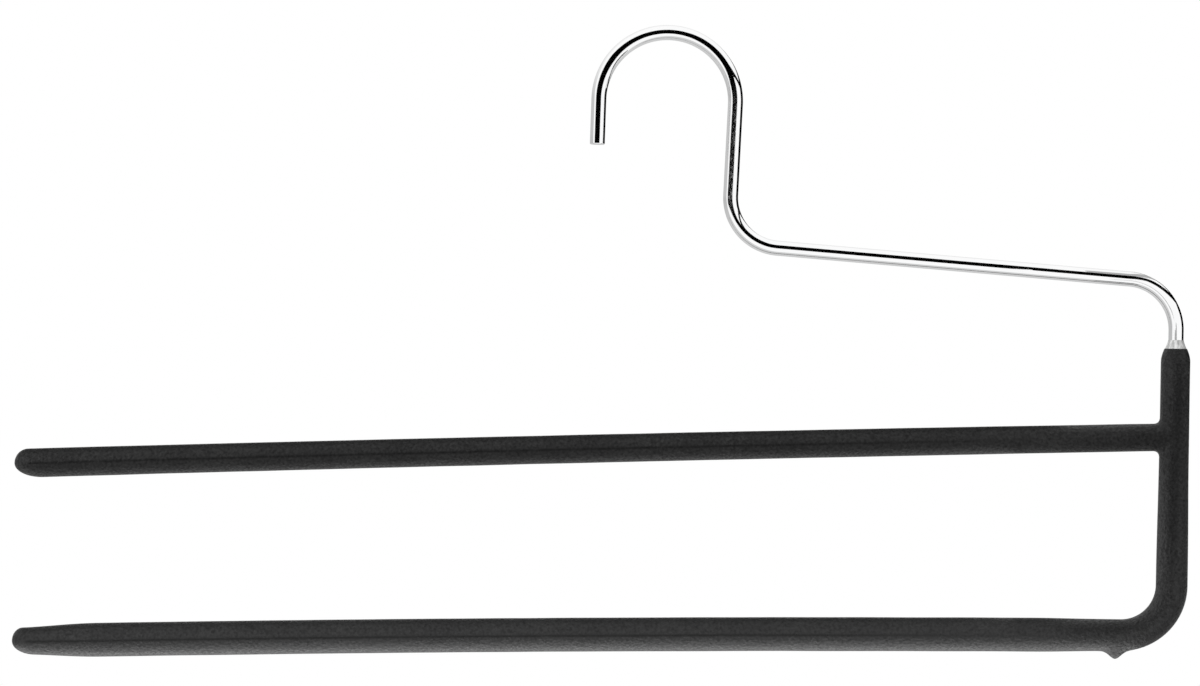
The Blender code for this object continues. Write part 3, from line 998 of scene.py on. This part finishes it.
# %% The weld's finish
def make_weld_steel():
    material, tree, shader = new_finish("heat_tinted_steel")
    place = object_place(tree)
    tint = speckle(tree, place, 2.2 * MM, 4)
    crust = speckle(tree, place, 0.4 * MM, 4)
    feed(tree, shader, {
        "Metallic": 1.0,
        "Base Color": shades(tree, tint, (0.20, 0.21, 0.27), (0.42, 0.36, 0.27)),
        "Roughness": spread(tree, crust, 0.4, 0.65),
        "Normal": relief(tree, crust, 0.04 * MM),
    })
    return material


weld = frame["nodes"]["arm_weld"]
weld.data.materials.clear()
weld.data.materials.append(make_weld_steel())
print("weld finish:", weld.data.materials[0].name)

# %% [markdown]
# ## Riding on the frame
# Nothing on this hanger moves against anything else, so every piece rides on the one body and stands for
# the plain solid it was made after, which is hidden. The table also lists each piece's material slot of
# the record, which the loop does not use.

# %% Ride and replace
ROLES = (
    (chrome_wire, "frame_wire", "chrome_wire"),
    (steel_rod, "upper_arm_rod", "rod_steel"),
    (black_coat, "black_grip_coat", "black_vinyl"),
    (clear_coat, "clear_base_coat", "clear_vinyl"),
)
for piece, node, slot in ROLES:
    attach(piece, "root")
    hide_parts(node)
print("pieces riding:", len(ROLES))

# %% [markdown]
# ## Camera
# The hanger is seen square on from far away, with a long lens. The camera looks level at the middle of
# the picture, and its lens is worked out so that the picture is as wide as the real strip of space it
# shows.

# %% The camera
PICTURE_WIDTH = 360 * MM
PICTURE_CENTRE = Vector((-20.16 * MM, 0, -90.87 * MM))
CAMERA_DISTANCE = 1.2
lens = bpy.data.cameras.new("camera")
lens.lens = lens.sensor_width * CAMERA_DISTANCE / PICTURE_WIDTH
camera = new_object("camera", lens)
camera.location = PICTURE_CENTRE - Vector((0, CAMERA_DISTANCE, 0))
camera.rotation_euler = (math.pi / 2, 0, 0)
bpy.context.scene.camera = camera
print(f"lens {lens.lens:.0f} mm")

# %% [markdown]
# ## The studio
# Chrome has no colour of its own: it shows the room. Photographers put it in a white tent, leave one
# side of the tent less lit, and hang black cards where they want a line. The world is the tent. Its lit
# half faces front, right and up. Reflections find the other half grey, but less so towards the top and,
# slightly, towards the floor. The camera sees plain white all round, and everything else is lit by an
# even, softer white.

# %% The tent
TENT_LIT_SIDE = Vector((0.33, -0.82, 0.47)).normalized()
TENT_SEAM = 0.06
TENT_SHADE = 0.5
TENT_TOP_SHADE = 0.9
TENT_TOP = 0.6
TENT_FLOOR_LIFT = 0.12
AMBIENT = 0.55


def make_tent():
    world = bpy.data.worlds.new("tent")
    world.use_nodes = True
    tree = world.node_tree
    ray = add_node(tree, "ShaderNodeLightPath").outputs
    way = add_node(tree, "ShaderNodeTexCoord").outputs["Generated"]
    height = add_node(tree, "ShaderNodeSeparateXYZ", {0: way}).outputs["Z"]
    facing = add_node(tree, "ShaderNodeVectorMath", {0: way, 1: TENT_LIT_SIDE}, operation="DOT_PRODUCT")
    lit = map_range(tree, facing.outputs["Value"], -TENT_SEAM, TENT_SEAM, 0, 1)
    shade = map_range(tree, height, 0, TENT_TOP, TENT_SHADE, TENT_TOP_SHADE)
    shade = math_node(tree, "ADD", shade, map_range(tree, height, 0, -TENT_TOP, 0, TENT_FLOOR_LIFT))
    reflected = map_range(tree, lit, 0, 1, shade, 1)
    seen = math_node(tree, "MAXIMUM", ray["Is Camera Ray"], ray["Is Transmission Ray"])
    light = map_range(tree, ray["Is Glossy Ray"], 0, 1, AMBIENT, reflected)
    light = map_range(tree, seen, 0, 1, light, 1)
    feed(tree, tree.nodes["Background"], {"Color": (1, 1, 1, 1), "Strength": light})
    bpy.context.scene.world = world


make_tent()
bpy.context.scene.view_settings.view_transform = "Standard"
print("tent: ambient", AMBIENT, "and shaded side", TENT_SHADE)

# %% [markdown]
# ## Cards
# Each flat card has a name, its corners in metres in rows of two, a tone from black upwards, and a
# reach. Only reflections see the cards: the camera looks past them, and they throw no shadow. A broad
# black card in front draws the dark line on the hook and the shoulder, and one on the right, reaching
# behind the hanger, draws the thin line along the neck. The others stand along the coat, dark or light,
# and shape the soft bands on it. They are for the coat alone, which is what the reach is for: a surface
# further away than that looks straight through the card.

# %% Hang the flat cards
FAR = 10.0
CARDS = (
    ("front_card", (
        ((-0.27, -0.25, -0.072), (-0.248, -0.25, 0.215)),
        ((0.126, -0.25, -0.087), (0.198, -0.25, 0.215)),
    ), 0.0, FAR),
    ("side_card", (
        ((0.949, -0.02, -0.125), (0.949, -0.02, 0.2)),
        ((0.288, 0.788, -0.125), (0.288, 0.788, 0.36)),
    ), 0.0, FAR),
    ("upper_sheet", (
        ((-0.25, -0.005, -0.1105), (-0.25, 0.075, -0.1105)),
        ((0.12, -0.005, -0.1045), (0.12, 0.075, -0.1045)),
    ), 0.15, 0.03),
    ("upper_front", (
        ((-0.25, -0.022, -0.1265), (-0.25, -0.022, -0.1545)),
        ((0.13, -0.022, -0.12), (0.13, -0.022, -0.148)),
    ), 0.2, 0.036),
    ("upper_light", (
        ((-0.25, -0.006, -0.153), (-0.25, 0.034, -0.153)),
        ((0.1, -0.006, -0.147), (0.1, 0.034, -0.147)),
    ), 1.0, 0.034),
    ("lower_sheet", (
        ((-0.25, -0.002, -0.16), (-0.25, 0.078, -0.16)),
        ((0.12, -0.002, -0.16), (0.12, 0.078, -0.16)),
    ), 0.2, 0.03),
    ("lower_front", (
        ((-0.25, -0.02, -0.173), (-0.25, -0.02, -0.153)),
        ((0.12, -0.02, -0.173), (0.12, -0.02, -0.153)),
    ), 1.0, 0.03),
    ("foot_light", (
        ((-0.215, -0.021, -0.199), (-0.215, 0.014, -0.199)),
        ((0.145, -0.021, -0.199), (0.145, 0.014, -0.199)),
    ), 3.2, 0.06),
    ("upright_sheet", (
        ((0.13, -0.025, -0.168), (0.158, -0.025, -0.168)),
        ((0.131, -0.025, -0.13), (0.164, -0.025, -0.13)),
        ((0.143, -0.025, -0.122), (0.19, -0.025, -0.122)),
        ((0.145, -0.025, -0.0945), (0.26, -0.025, -0.0945)),
    ), 0.0, 0.09),
    ("upright_light", (
        ((0.105, -0.03, -0.166), (0.105, -0.03, -0.134)),
        ((0.105, 0.04, -0.166), (0.105, 0.04, -0.134)),
    ), 1.45, 0.05),
)


def hang_card(name, rows, tone, reach):
    """A card of an even tone through rows of two points, which only reflections within its reach see."""
    bm = bmesh.new()
    edges = [[bm.verts.new(point) for point in row] for row in rows]
    for (a, b), (c, d) in zip(edges, edges[1:]):
        bm.faces.new((a, c, d, b))
    material, tree, shader = new_finish(name)
    away = add_node(tree, "ShaderNodeLightPath").outputs["Ray Length"]
    feed(tree, shader, {
        "Base Color": (0, 0, 0, 1),
        "Specular IOR Level": 0.0,
        "Emission Color": (1, 1, 1, 1),
        "Emission Strength": tone,
        "Alpha": math_node(tree, "LESS_THAN", away, reach),
    })
    card = mesh_piece(name, bm, material)
    card.visible_camera = False
    card.visible_diffuse = False
    card.visible_shadow = False
    card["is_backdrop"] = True


for card in CARDS:
    hang_card(*card)
print("flat cards:", len(CARDS))

# %% [markdown]
# ## Cards for the bends
# Round a bend a flat card draws a line that wanders off. To hang a card where it is needed, go
# backwards: choose where the line should lie on the wire, follow the camera's view from there along its
# reflection, and put the card there. Each row below says how far round the bend it is, from 0 at its
# start to 1 at its end, and between which shares of the wire's radius the line lies. Shares count from
# the wire's middle towards the left of its run, which is the outside of the hook and of the bend over
# the upright, and the inside of the neck's bend. Negative ones lie on the other side. The card is a
# strip through those rows, so many metres from the wire.
#
# Three strips stand near the bend over the upright. They carry the dark stripe round it, lay a grey
# sheen beside that, and draw a short streak above the collar. The other two are far away. One draws the
# line that runs into the stripe inside the neck's bend, and the hook mirrors it too, as a fork on its
# right. The last draws the thin line inside the hook's left arc.

# %% Hang the curved cards
STRIP_REACH = 1.2
SHOULDER_ROWS = (
    (-1.3, 0.0, 0.4), (0.0, 0.0, 0.42), (0.1, 0.08, 0.44), (0.2, 0.22, 0.55), (0.3, 0.36, 0.63),
    (0.4, 0.47, 0.69), (0.5, 0.6, 0.81), (0.6, 0.77, 0.96), (0.7, 0.82, 0.98),
)
SHEEN_ROWS = (
    (-0.6, 0.42, 0.62), (0.0, 0.43, 0.66), (0.1, 0.46, 0.82), (0.2, 0.66, 0.96), (0.3, 0.84, 0.98),
)
NECK_ROWS = (
    (0.1, 0.84, 0.97), (0.2, 0.72, 0.92), (0.27, 0.57, 0.8), (0.3, 0.5, 0.71), (0.35, 0.39, 0.59),
    (0.4, 0.29, 0.5), (0.5, 0.16, 0.4), (0.65, 0.15, 0.42), (0.8, 0.15, 0.42), (0.95, 0.15, 0.4),
)
HOOK_LINE_ROWS = (
    (0.045, -0.97, -0.88), (0.069, -0.94, -0.83), (0.108, -0.86, -0.74), (0.139, -0.78, -0.66),
    (0.171, -0.7, -0.58), (0.205, -0.67, -0.54), (0.243, -0.66, -0.54), (0.275, -0.62, -0.55),
)
STREAK_ROWS = ((0.9, -0.08, -0.06), (0.99, -0.19, -0.06), (1.05, -0.29, -0.04), (1.15, -0.32, -0.02))


def mirrored(distance, share, away):
    """The point, so far away, that the camera sees in the wire here, at this share of its radius."""
    x, z, heading = long_wire.at(distance)
    depth = math.sqrt(1 - share * share)
    facing = Vector((-share * math.sin(heading), -depth, share * math.cos(heading)))
    place = Vector((x, 0, z)) + WIRE_RADIUS * facing
    return place + away * (place - camera.location).normalized().reflect(facing)


def hang_strip(name, start, end, rows, tone, away):
    """A strip of card that draws a line on the wire between two distances along it."""
    points = []
    for place, inner, outer in rows:
        distance = start + place * (end - start)
        points.append((mirrored(distance, inner, away), mirrored(distance, outer, away)))
    hang_card(name, points, tone, STRIP_REACH * away)


STRIPS = (
    ("shoulder_strip", shoulder_end, upright_start, SHOULDER_ROWS, 0.0, 0.045),
    ("sheen_strip", shoulder_end, upright_start, SHEEN_ROWS, 0.42, 0.052),
    ("streak_strip", shoulder_end, upright_start, STREAK_ROWS, 0.4, 0.035),
    ("neck_strip", neck_end, shoulder_start, NECK_ROWS, 0.0, 0.5),
    ("hook_line_strip", hook_start, hook_end, HOOK_LINE_ROWS, 0.0, 0.5),
)
for strip in STRIPS:
    hang_strip(*strip)
print("curved cards:", len(STRIPS))

# %% [markdown]
# ## Floor and lamp
# The hanger hangs well above a plain pale floor, which keeps its soft shadow and fades out before it
# reaches the picture. One large soft lamp gives the light a direction.

# %% Floor and lamp
FLOOR_HEIGHT = -0.30
FLOOR_RADIUS = 1.1
FLOOR_FADE = 0.45
FLOOR_SIDES = 96
LAMP_PLACE = Vector((-0.6, -1.0, 0.1))
LAMP_SIZE = 0.9
LAMP_POWER = 8.0


def make_floor():
    middle = Vector((PICTURE_CENTRE.x, 0, FLOOR_HEIGHT))
    bm = bmesh.new()
    bmesh.ops.create_circle(bm, cap_ends=True, segments=FLOOR_SIDES, radius=FLOOR_RADIUS)
    for vertex in bm.verts:
        vertex.co += middle
    material, tree, shader = new_finish("pale_floor")
    sockets = {0: object_place(tree), 1: middle}
    away = add_node(tree, "ShaderNodeVectorMath", sockets, operation="DISTANCE").outputs["Value"]
    kept = map_range(tree, away, FLOOR_FADE, FLOOR_RADIUS, 1, 0, interpolation_type="SMOOTHSTEP")
    below = add_node(tree, "ShaderNodeNewGeometry").outputs["Backfacing"]
    above = math_node(tree, "SUBTRACT", 1.0, below)
    feed(tree, shader, {
        "Base Color": (0.86, 0.86, 0.85, 1),
        "Roughness": 0.9,
        "Specular IOR Level": 0.1,
        "Alpha": math_node(tree, "MULTIPLY", kept, above),
    })
    floor = mesh_piece("floor", bm, material)
    floor.visible_glossy = False
    floor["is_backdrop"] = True


def make_lamp():
    light = bpy.data.lights.new("soft_lamp", "AREA")
    light.size = LAMP_SIZE
    light.energy = LAMP_POWER
    lamp = new_object("soft_lamp", light)
    lamp.location = LAMP_PLACE
    lamp.rotation_euler = (PICTURE_CENTRE - LAMP_PLACE).to_track_quat("-Z", "Y").to_euler()
    lamp.visible_glossy = False


make_floor()
make_lamp()
print("floor at", FLOOR_HEIGHT, "m, lamp of", LAMP_POWER, "W")

# %% [markdown]
# ## Measure and finish
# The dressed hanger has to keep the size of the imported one.

# %% Sizes and the last line
dressed_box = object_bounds()
growth = (dressed_box[1] - dressed_box[0]) - (cad_box[1] - cad_box[0])
print("box grew by", [round(1000 * side, 2) for side in growth], "mm")
